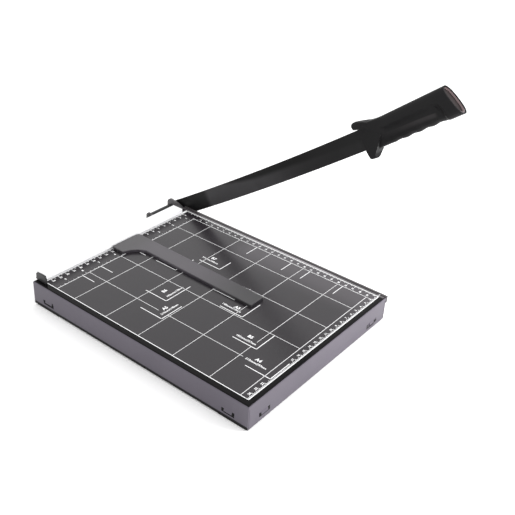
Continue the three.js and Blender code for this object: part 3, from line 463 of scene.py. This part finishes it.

# %% [markdown]
# ## The grip's moulding
# The grip is black plastic. On its left side a pad for the fingers is pressed in
# below the upper edge of the hold, and a little greyer colour is painted on it as a
# painted sheen. The mask follows the hold's edge, grows stronger toward the grip's end,
# and keeps to faces that look left.

# %% Grip moulding
HOLD_STARTS, HOLD_GROWS, HOLD_ENDS, HOLD_LEAST = (366, 372), (372, 424), (432, 437), 0.15
HOLD_TOP_ALONG, HOLD_TOP = (372, 430), (-3.4, -1.8)
HOLD_UPPER_EDGE, HOLD_LOWER_FADE, SIDE_FACING = (-0.6, 0.6), (2, 6.5), -0.3
grip_skin, tree, surface = new_material("grip_moulding", (0.02, 0.02, 0.02), 0.5, specular=0.2)
cloud = add_grain(tree, surface, 1500.0, 0.08, 30.0)
vary_colour(tree, surface, cloud, (0.003, 0.0028, 0.0032), (0.006, 0.0056, 0.0062))
place = tree.nodes.new("ShaderNodeTexCoord")
along, across = arm_measures(tree, place)
facing_x = split(tree, place.outputs["Normal"])[0]
below_top = math_node(tree, "SUBTRACT", ramp(tree, along, HOLD_TOP_ALONG, HOLD_TOP), across)
# Painted sheen on the finger pad.
hold = product(tree, ramp(tree, along, HOLD_GROWS, (HOLD_LEAST, 1)),
               ramp(tree, along, HOLD_ENDS, (1, 0)),
               ramp(tree, along, HOLD_STARTS, (0, 1)),
               ramp(tree, below_top, HOLD_UPPER_EDGE, (0, 1)),
               ramp(tree, below_top, HOLD_LOWER_FADE, (1, 0)),
               math_node(tree, "LESS_THAN", facing_x, SIDE_FACING))
repaint(tree, surface, hold, (0.021, 0.019, 0.02))
print("hold from", HOLD_STARTS[0], "to", HOLD_ENDS[1], "mm along the arm")

# %% [markdown]
# ## The gauge's moulding
# The gauge is a shinier plastic than the grip, with a satin skin, so it gets a high
# specular level and a soft coat. It is darker at its head and toward its far end,
# where it mirrors the arm rather than the room.

# %% Gauge moulding
END_DARKENS, HEAD_DARKENS, SATIN_ROUGHNESS = (110, 190), (42, 14), 0.35
gauge_skin, tree, surface = new_material("gauge_moulding", (0.09, 0.085, 0.095), 0.38,
                                         specular=1.0)
cloud = add_grain(tree, surface, 1600.0, 0.12, 26.0)
vary_colour(tree, surface, cloud, (0.03, 0.024, 0.033), (0.044, 0.036, 0.047))
place = tree.nodes.new("ShaderNodeTexCoord")
forward = split(tree, place.outputs["Object"])[1]
repaint(tree, surface, forward_ramp(tree, forward, END_DARKENS, (0, 1)), (0.012, 0.0105, 0.013))
repaint(tree, surface, forward_ramp(tree, forward, HEAD_DARKENS, (0, 1)), (0.021, 0.0175, 0.022))
surface.inputs["Coat Weight"].default_value = CLEAR_COAT
surface.inputs["Coat Roughness"].default_value = SATIN_ROUGHNESS
print("gauge darkens from", END_DARKENS[0], "mm in front of the fence")

# %% [markdown]
# ## The cup in the grip's end
# A brown-grey cup lines the recess at the end of the grip. Its walls catch the light
# and are painted lighter, its floor is painted dark as shade, and its thin lip carries a
# painted highlight. All three face along or across the arm, so the normal tells floor
# from wall, and the distance along the arm finds the lip.

# %% Cap moulding
FLOOR_FACING, LIP_DEPTH = 0.8, 1.0
CUP_WALL_LIT, CUP_FLOOR_SHADED, CUP_LIP_GLINT = (0.34, 0.26, 0.265), (0.028, 0.022, 0.022), (0.2, 0.18, 0.19)
cap_skin, tree, surface = new_material("cap_moulding", (0.11, 0.085, 0.085), 0.55, specular=0.3)
add_grain(tree, surface, 1200.0, 0.1)
place = tree.nodes.new("ShaderNodeTexCoord")
along, _ = arm_measures(tree, place)
facing_out = tree.nodes.new("ShaderNodeVectorMath")
facing_out.operation = "DOT_PRODUCT"
facing_out.inputs[1].default_value = ARM_OUT
tree.links.new(place.outputs["Normal"], facing_out.inputs[0])
cap_corners = nodes["handle_end_cap"].data.vertices
cap_end = max((corner.co - hinge).dot(ARM_OUT) for corner in cap_corners) / MM
# Painted light and shade: lit walls, shaded floor, painted highlight on the lip.
is_floor = math_node(tree, "GREATER_THAN", facing_out.outputs["Value"], FLOOR_FACING)
lip_glint = product(tree, is_floor, math_node(tree, "GREATER_THAN", along, cap_end - LIP_DEPTH))
cup_light_and_shade = mix_colour(tree, is_floor, CUP_WALL_LIT, CUP_FLOOR_SHADED)
tree.links.new(mix_colour(tree, lip_glint, cup_light_and_shade, CUP_LIP_GLINT), surface.inputs["Base Color"])
print("cup ends", round(cap_end, 1), "mm along the arm")

# %% [markdown]
# ## Plain finishes
# The rubber feet, the pivot's pin and spring, the ground knife, the zinc fasteners
# and the white ink show no change over their small faces, so one even surface does
# for each.

# %% Plain finishes
rubber = new_material("foot_rubber", (0.02, 0.02, 0.02), 0.8)[0]
bare_steel = new_material("bare_steel", (0.05, 0.05, 0.052), 0.4, 0.3)[0]
knife_steel = new_material("knife_steel", (0.06, 0.055, 0.058), 0.42)[0]
zinc = new_material("zinc", (0.55, 0.55, 0.53), 0.35, 0.9)[0]
ink = new_material("white_ink", (0.97, 0.97, 0.98), 0.5)[0]
print("materials:", len(bpy.data.materials))

# %% [markdown]
# ## Giving each piece its finish
# The CAD record names a material slot for every piece, and a table turns slots into
# finishes. Three pieces have a finish of their own.

# %% Assign finishes
finishes = {
    "board": board, "foot_rubber": rubber, "white_lacquer": white_coat,
    "black_lacquer": black_coat, "ground_steel": bare_steel, "zinc_steel": zinc,
    "gauge_plastic": gauge_skin, "grip_plastic": grip_skin, "cap_plastic": cap_skin,
}
own_finish = {"blade": blade_coat, "bed_knife": knife_steel, "pivot_bracket": bracket_coat}
slot_of = {part["node"]: part["material_slot"] for part in frame["record"]["subparts"]}
for name, piece in nodes.items():
    piece.data.materials.clear()
    piece.data.materials.append(own_finish.get(name, finishes[slot_of[name]]))
print("finishes:", len(finishes) + len(own_finish))

# %% [markdown]
# ## Ruler ticks by Geometry Nodes
# A ruler is one rule repeated: a tick at every step, longer at every fifth and tenth.
# A loop in Python could place the ticks, but a tree keeps the rule and its sizes in
# one place, and all five rulers share it. These are its named inputs.

# %% Ruler inputs
ruler = bpy.data.node_groups.new("ruler_ticks", "GeometryNodeTree")
for name, kind, value in (
    ("Count", "NodeSocketInt", 10), ("Step", "NodeSocketFloat", 1.0 * MM),
    ("Short", "NodeSocketFloat", 2.0 * MM), ("Middle", "NodeSocketFloat", 3.0 * MM),
    ("Long", "NodeSocketFloat", 4.0 * MM), ("Width", "NodeSocketFloat", 0.3 * MM),
    ("Middle Every", "NodeSocketInt", 5), ("Long Every", "NodeSocketInt", 10),
):
    socket = ruler.interface.new_socket(name, in_out="INPUT", socket_type=kind)
    socket.default_value = value
ruler.interface.new_socket("Material", in_out="INPUT", socket_type="NodeSocketMaterial")
ruler.interface.new_socket("Geometry", in_out="OUTPUT", socket_type="NodeSocketGeometry")
ruler_in = ruler.nodes.new("NodeGroupInput")
ruler_out = ruler.nodes.new("NodeGroupOutput")
sockets = {item.name: item.identifier for item in ruler.interface.items_tree
           if item.in_out == "INPUT"}
print("ruler inputs:", list(sockets))

# %% [markdown]
# ## Which ticks are long
# The tree lays a row of points and puts a unit quad on each. The point's index,
# divided by five or by ten, leaves no remainder at a longer tick, and that switches
# the tick's length from short to middle to long.

# %% Tick lengths
SAME = 0.5


def geo(kind, **settings):
    made = ruler.nodes.new(kind)
    for key, value in settings.items():
        setattr(made, key, value)
    return made


index = geo("GeometryNodeInputIndex")


def every(count_socket):
    """1 at each point whose index is a multiple of the count."""
    left = geo("ShaderNodeMath", operation="MODULO")
    same = geo("ShaderNodeMath", operation="LESS_THAN")
    same.inputs[1].default_value = SAME
    ruler.links.new(index.outputs[0], left.inputs[0])
    ruler.links.new(count_socket, left.inputs[1])
    ruler.links.new(left.outputs[0], same.inputs[0])
    return same.outputs[0]


def choose(switch, if_false, if_true):
    choice = geo("ShaderNodeMix", data_type="FLOAT")
    ruler.links.new(switch, choice.inputs[0])
    ruler.links.new(if_false, choice.inputs[2])
    ruler.links.new(if_true, choice.inputs[3])
    return choice.outputs[0]


length = choose(every(ruler_in.outputs["Middle Every"]),
                ruler_in.outputs["Short"], ruler_in.outputs["Middle"])
length = choose(every(ruler_in.outputs["Long Every"]), length, ruler_in.outputs["Long"])
print("length nodes:", len(ruler.nodes))

# %% [markdown]
# ## Quads on the points
# Each quad hangs from its point, so that all the ticks start on one line. The tree
# ends in real faces with their ink, because instances are lost on export.

# %% Ruler tree
line = geo("GeometryNodeMeshLine", mode="OFFSET")
step_vector = geo("ShaderNodeCombineXYZ")
quad = geo("GeometryNodeMeshGrid")
quad.inputs["Vertices X"].default_value = 2
quad.inputs["Vertices Y"].default_value = 2
hang = geo("GeometryNodeTransform")
hang.inputs["Translation"].default_value = (0, -0.5, 0)
scatter = geo("GeometryNodeInstanceOnPoints")
size = geo("ShaderNodeCombineXYZ")
size.inputs["Z"].default_value = 1
realize = geo("GeometryNodeRealizeInstances")
paint = geo("GeometryNodeSetMaterial")
for source, target in (
    (ruler_in.outputs["Step"], step_vector.inputs["X"]),
    (step_vector.outputs[0], line.inputs["Offset"]),
    (ruler_in.outputs["Count"], line.inputs["Count"]),
    (quad.outputs[0], hang.inputs[0]),
    (line.outputs[0], scatter.inputs["Points"]),
    (hang.outputs[0], scatter.inputs["Instance"]),
    (ruler_in.outputs["Width"], size.inputs["X"]),
    (length, size.inputs["Y"]),
    (size.outputs[0], scatter.inputs["Scale"]),
    (scatter.outputs[0], realize.inputs[0]),
    (realize.outputs[0], paint.inputs[0]),
    (ruler_in.outputs["Material"], paint.inputs["Material"]),
    (paint.outputs[0], ruler_out.inputs[0]),
):
    ruler.links.new(source, target)
print("ruler tree:", len(ruler.nodes), "nodes,", len(ruler.links), "links")

# %% [markdown]
# ## The five rulers
# Two run along the fence, one in centimetres and one in quarter inches. Two run
# along the right edge and one along the front. A negative length points a tick the
# other way. Each ruler is turned into a plain mesh at once, so no modifier is left.

# %% Rulers
INCH = 25.4
PRINT_HEIGHT = 0.06


def ruler_mesh(name, start, turn, count, step, width, lengths):
    """Ticks from `start` along +X, turned by `turn` degrees. They point to its right."""
    blank = bpy.data.objects.new(name, bpy.data.meshes.new(name))
    bpy.context.scene.collection.objects.link(blank)
    modifier = blank.modifiers.new("ruler", "NODES")
    modifier.node_group = ruler
    modifier[sockets["Material"]] = ink
    modifier[sockets["Count"]] = count
    for key, value in zip(("Step", "Width", "Short", "Middle", "Long"), (step, width, *lengths)):
        modifier[sockets[key]] = value * MM
    bpy.context.view_layer.update()
    shown = bpy.context.evaluated_depsgraph_get()
    mesh = bpy.data.meshes.new_from_object(blank.evaluated_get(shown), depsgraph=shown)
    blank.modifiers.clear()
    blank.data = mesh
    mesh.transform(Matrix.Translation(start) @ Matrix.Rotation(math.radians(turn), 4, "Z"))
    print(name, len(mesh.polygons), "ticks")
    return blank


# Each ruler: where it starts (u, v), its turn, ticks, step, width, and its three lengths.
RULERS = {
    "ruler_back_cm": (240.2, 0.6, 0, 222, 1.0, 0.7, (0.9, 2.6, 3.4)),
    "ruler_back_inch": (INCH * 9.5, 21.0, 0, 36, INCH / 4, 0.5, (-1.8, -1.8, -1.8)),
    "ruler_right_outer": (8.9, 0, -89.9, 299, 0.9945, 0.45, (1.3, 2.5, 3.5)),
    "ruler_right_inner": (19.3, 22, -90, 267, 1.0, 0.42, (-0.7, -1.2, -1.6)),
    "ruler_front": (248, 299.4, 0, 245, 1.0, 0.42, (-1.6, -2.8, -3.4)),
}
print_pieces = [ruler_mesh(name, at(u, v, PRINT_HEIGHT), *rest)
                for name, (u, v, *rest) in RULERS.items()]

# %% [markdown]
# ## Lines of the print
# The grid has a line every 50 mm, inside a double frame. The real print isn't quite
# true: its cross lines drift by up to half a millimetre, and two lines are broken to
# leave room for a sheet's size. Straight strokes between two points of the board
# draw all of it.

# %% Grid and frame
strokes = []


def stroke(u0, v0, u1, v1, width=0.5):
    strokes.append((u0, v0, u1, v1, width))


LEFT, RIGHT, FAR_RIGHT = 247.7, 19.3, 8.6
BACK, FRONT, FAR_FRONT, FENCE_FOOT = 21.1, 289.7, 299.9, -0.5
for u in (50, 100, 150):
    stroke(u, BACK, u, FRONT)
for start, end in ((BACK, 134), (148, 254)):
    stroke(200, start, 200, end)
for v, drift in ((50, 0.55), (100, 0.4), (150, 0.2), (200, -0.1)):
    stroke(LEFT, v + drift, RIGHT, v + drift)
for start, end in ((LEFT, 182), (172, RIGHT)):
    stroke(start, 249.9, end, 249.9)
stroke(LEFT, -0.7, FAR_RIGHT, -0.7, 3.4)
for inch in range(1, 10):
    stroke(INCH * inch, BACK, INCH * inch, BACK - 2.8, 0.45)
for u0, v0, u1, v1, width in (
    (LEFT, FENCE_FOOT, LEFT, FAR_FRONT, 0.85),
    (FAR_RIGHT + 0.3, FENCE_FOOT, FAR_RIGHT - 0.2, FAR_FRONT, 0.95),
    (LEFT, FAR_FRONT, FAR_RIGHT, FAR_FRONT, 0.85),
    (LEFT, BACK, RIGHT, BACK, 0.65),
    (RIGHT, BACK, RIGHT, FAR_FRONT, 0.5),
    (LEFT, FRONT, RIGHT, FRONT, 0.6),
):
    stroke(u0, v0, u1, v1, width)
print("grid and frame strokes:", len(strokes))

# %% [markdown]
# ## Sheet marks
# Each standard sheet has an L where its far corner comes, and short strokes repeat
# its length and width at the rulers. The marks are printed a little short of the true
# size, so that they stay in view when the sheet lies on them.

# %% Sheet marks
ARM, SHORT_ARMS = 32, {"B6 wide": 40, "B7": 21, "B6": 29}
SHORT_OF_SIZE, CORNER_OVERLAP, MARK_WIDTH, SIDE_MARK_WIDTH = 0.4, 0.35, 0.9, 0.85
SHEETS = {
    "A4": (210, 297), "B5": (182, 257), "A5": (148, 210), "A5 wide": (210, 148),
    "B6 wide": (182, 128), "B6": (128, 182), "B7": (91, 128), "B7 wide": (128, 91),
}
for name, (width, length_of_sheet) in SHEETS.items():
    u, v = width - SHORT_OF_SIZE, length_of_sheet - SHORT_OF_SIZE
    stroke(u, v - ARM, u, v + CORNER_OVERLAP, MARK_WIDTH)
    stroke(u + CORNER_OVERLAP, v, u - SHORT_ARMS.get(name, ARM), v, MARK_WIDTH)
for v in (128, 182, 210, 257):
    stroke(RIGHT, v, 40, v, SIDE_MARK_WIDTH)
for u in (210, 182, 128):
    stroke(u, BACK, u, 41, SIDE_MARK_WIDTH)
print("all strokes:", len(strokes))

# %% [markdown]
# ## Strokes as faces
# A stroke is a quad as long as the line and as wide as the ink. All of them go into
# one mesh, lifted a hair above the board so that the two don't flicker.

# %% Stroke mesh


def mesh_object(name, corners, faces, material):
    mesh = bpy.data.meshes.new(name)
    mesh.from_pydata([tuple(c) for c in corners], [], faces)
    mesh.update()
    mesh.materials.append(material)
    made = bpy.data.objects.new(name, mesh)
    bpy.context.scene.collection.objects.link(made)
    return made


corners, faces = [], []
for u0, v0, u1, v1, width in strokes:
    along = Vector((u1 - u0, v1 - v0)).normalized() * width / 2
    across = Vector((-along.y, along.x))
    base = len(corners)
    for u, v, side in ((u0, v0, -1), (u1, v1, -1), (u1, v1, 1), (u0, v0, 1)):
        corners.append(at(u + across.x * side, v + across.y * side, PRINT_HEIGHT))
    faces.append((base, base + 1, base + 2, base + 3))
print_pieces.append(mesh_object("print_lines", corners, faces, ink))
print("stroke faces:", len(faces))

# %% [markdown]
# ## Lettering
# Text starts as a Blender text object and is turned into a plain mesh at once. Only
# generic marks are printed: ruler numbers, and the names and sizes of sheets.

# %% Label helper
SIZE_OF_HEIGHT = 1.4


def label(text, u, v, height, turn=0.0, weight=0.0):
    """Flat text centred on a point of the board, read from the side that `turn` gives."""
    curve = bpy.data.curves.new("label", "FONT")
    curve.body = text
    curve.size = height * SIZE_OF_HEIGHT * MM
    curve.align_x = "CENTER"
    curve.align_y = "CENTER"
    curve.offset = weight * MM
    curve.resolution_u = 2
    writer = bpy.data.objects.new("label", curve)
    bpy.context.scene.collection.objects.link(writer)
    bpy.context.view_layer.update()
    shown = bpy.context.evaluated_depsgraph_get()
    mesh = bpy.data.meshes.new_from_object(writer.evaluated_get(shown), depsgraph=shown)
    bpy.data.objects.remove(writer)
    mesh.transform(Matrix.Translation(at(u, v, PRINT_HEIGHT))
                   @ Matrix.Rotation(math.radians(turn), 4, "Z"))
    return mesh


# %% [markdown]
# ## Ruler numbers
# Centimetres run along the fence, the right edge and the front, and inches run along
# the fence. The front row skips the numbers where the largest sheet's mark comes.

# %% Numbers
SKIPPED = range(18, 22)
labels = [label(str(cm), cm * 10 - 0.4, 6.3, 2.6, weight=0.14) for cm in range(1, 25)]
labels += [label(str(inch), inch * INCH - 0.3, 12.9, 3.0, weight=0.14) for inch in range(1, 10)]
labels += [label(str(cm), cm * 10 + 0.3, 295.2, 2.6, weight=0.12)
           for cm in range(1, 25) if cm not in SKIPPED]
labels += [label(str(cm), 15.1, cm * 9.945, 2.4, weight=0.12) for cm in range(3, 30)]
print("numbers:", len(labels))

# %% [markdown]
# ## Sheet names and sizes
# Each name stands by its mark, with the sheet's size beside it in smaller letters.
# The tall sheets are read from the left, the wide ones from the front.

# %% Sheet names
FROM_LEFT, FROM_FRONT = -90, 0
for name, u, v, turn in (
    ("A4", 194.6, 270, FROM_LEFT), ("B5", 169.2, 239, FROM_LEFT), ("A5", 137.3, 194.5, FROM_LEFT),
    ("B7", 76.6, 106.5, FROM_LEFT), ("B6", 168.5, 112.3, FROM_FRONT),
    ("A5", 192.5, 136.5, FROM_FRONT),
):
    labels.append(label(name, u, v, 4.4, turn=turn, weight=0.18))
for text, u, v, turn in (
    ("210mmx297mm", 200.3, 271, FROM_LEFT), ("182mmx257mm", 176.2, 238.5, FROM_LEFT),
    ("148mmx210mm", 141.7, 189.3, FROM_LEFT), ("91mmx128mm", 82.8, 106, FROM_LEFT),
    ("182mmx128mm", 162, 122.2, FROM_FRONT), ("210mmx148mm", 191, 141.8, FROM_FRONT),
):
    labels.append(label(text, u, v, 2.9, turn=turn, weight=0.08))
print("labels:", len(labels))

# %% [markdown]
# ## One layer of ink
# The whole print is one thin layer on the board, so rulers, strokes and lettering
# become one object. It rides on the board's body, and its faces all look up.

# %% Join the print


def gather(meshes):
    """The corners and faces of several meshes as one list of each."""
    corners, faces = [], []
    for mesh in meshes:
        base = len(corners)
        corners += [vertex.co.copy() for vertex in mesh.vertices]
        faces += [[base + corner for corner in face.vertices] for face in mesh.polygons]
    return corners, faces


corners, faces = gather([piece.data for piece in print_pieces] + labels)
for piece in print_pieces:
    bpy.data.objects.remove(piece)
for mesh in labels:
    bpy.data.meshes.remove(mesh)
board_print = mesh_object("board_print", corners, faces, ink)
for polygon in board_print.data.polygons:
    if polygon.normal.z < 0:
        polygon.flip()
board_print.data.update()
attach(board_print, "base")
print("print faces:", len(faces))

# %% [markdown]
# ## The floor
# The photo's floor is plain white, with only a soft shadow at the object's foot. A
# white floor alone renders a little grey, so a faint glow is added to it for camera
# rays only. The object isn't lit by that glow, and the shadow stays.

# %% Floor
FLOOR_HALF, FLOOR_LIFT = 4.0, 0.12
floor_paint, tree, surface = new_material("floor_paint", (1.0, 1.0, 1.0), 1.0, specular=0.0)
floor_corners = [(-FLOOR_HALF, -FLOOR_HALF, 0), (FLOOR_HALF, -FLOOR_HALF, 0),
                 (FLOOR_HALF, FLOOR_HALF, 0), (-FLOOR_HALF, FLOOR_HALF, 0)]
floor = mesh_object("floor", floor_corners, [(0, 1, 2, 3)], floor_paint)
seen = tree.nodes.new("ShaderNodeLightPath")
glow = tree.nodes.new("ShaderNodeEmission")
both = tree.nodes.new("ShaderNodeAddShader")
tree.links.new(math_node(tree, "MULTIPLY", seen.outputs["Is Camera Ray"], FLOOR_LIFT),
               glow.inputs["Strength"])
tree.links.new(surface.outputs[0], both.inputs[0])
tree.links.new(glow.outputs[0], both.inputs[1])
tree.links.new(both.outputs[0], tree.nodes["Material Output"].inputs["Surface"])
print("floor lift:", FLOOR_LIFT)

# %% [markdown]
# ## The white room
# The world is one white room that plays three parts. The camera sees it as white,
# surfaces mirror it, a little brighter near the horizon than overhead, and it lights
# the object softly from all round. Light Path tells the three kinds of ray apart.

# %% World
SKY_STRENGTH, LOW_GLOW, HIGH_GLOW = 1.15, 1.12, 0.92
GLOW_FADES = (0.40, 0.70)
world = bpy.data.worlds.new("white_studio")
bpy.context.scene.world = world
world.use_nodes = True
tree = world.node_tree
tree.nodes.clear()
backdrop, skylight, mirror = (tree.nodes.new("ShaderNodeBackground") for _ in range(3))
for shade, strength in ((backdrop, 1.0), (skylight, SKY_STRENGTH)):
    shade.inputs["Strength"].default_value = strength
for shade in (backdrop, skylight, mirror):
    shade.inputs["Color"].default_value = (1, 1, 1, 1)
way = tree.nodes.new("ShaderNodeTexCoord")
height = split(tree, way.outputs["Generated"])[2]
tree.links.new(ramp(tree, height, GLOW_FADES, (LOW_GLOW, HIGH_GLOW)), mirror.inputs["Strength"])
path = tree.nodes.new("ShaderNodeLightPath")
glossy_mix, camera_mix = (tree.nodes.new("ShaderNodeMixShader") for _ in range(2))
out = tree.nodes.new("ShaderNodeOutputWorld")
for source, target in (
    (path.outputs["Is Glossy Ray"], glossy_mix.inputs[0]),
    (skylight.outputs[0], glossy_mix.inputs[1]),
    (mirror.outputs[0], glossy_mix.inputs[2]),
    (path.outputs["Is Camera Ray"], camera_mix.inputs[0]),
    (glossy_mix.outputs[0], camera_mix.inputs[1]),
    (backdrop.outputs[0], camera_mix.inputs[2]),
    (camera_mix.outputs[0], out.inputs[0]),
):
    tree.links.new(source, target)
print("world nodes:", len(tree.nodes))

# %% [markdown]
# ## The lamp
# One broad lamp stands in front of the board, a little to the right. It makes the
# front wall lighter than the left wall, and the shadow falls behind and to the left.
# It is hidden from mirrors, because its picture in the glossy panel would show as a
# white patch from behind.

# %% Lamp
LAMP_PLACE, LAMP_TARGET = Vector((0.5, -0.95, 0.38)), Vector((0.05, -0.15, 0.0))
lamp_data = bpy.data.lights.new("fill_front_right", "AREA")
lamp_data.shape = "RECTANGLE"
lamp_data.size, lamp_data.size_y = 0.6, 0.4
lamp_data.energy = 12
lamp = bpy.data.objects.new("fill_front_right", lamp_data)
bpy.context.scene.collection.objects.link(lamp)
lamp.visible_glossy = False
lamp.location = LAMP_PLACE
lamp.rotation_euler = (LAMP_TARGET - LAMP_PLACE).to_track_quat("-Z", "Y").to_euler()
print("lamp:", lamp_data.energy, "W")

# %% [markdown]
# ## Finish
# The view transform is Standard, so white stays white.

# %% Finish
bpy.context.scene.view_settings.view_transform = "Standard"
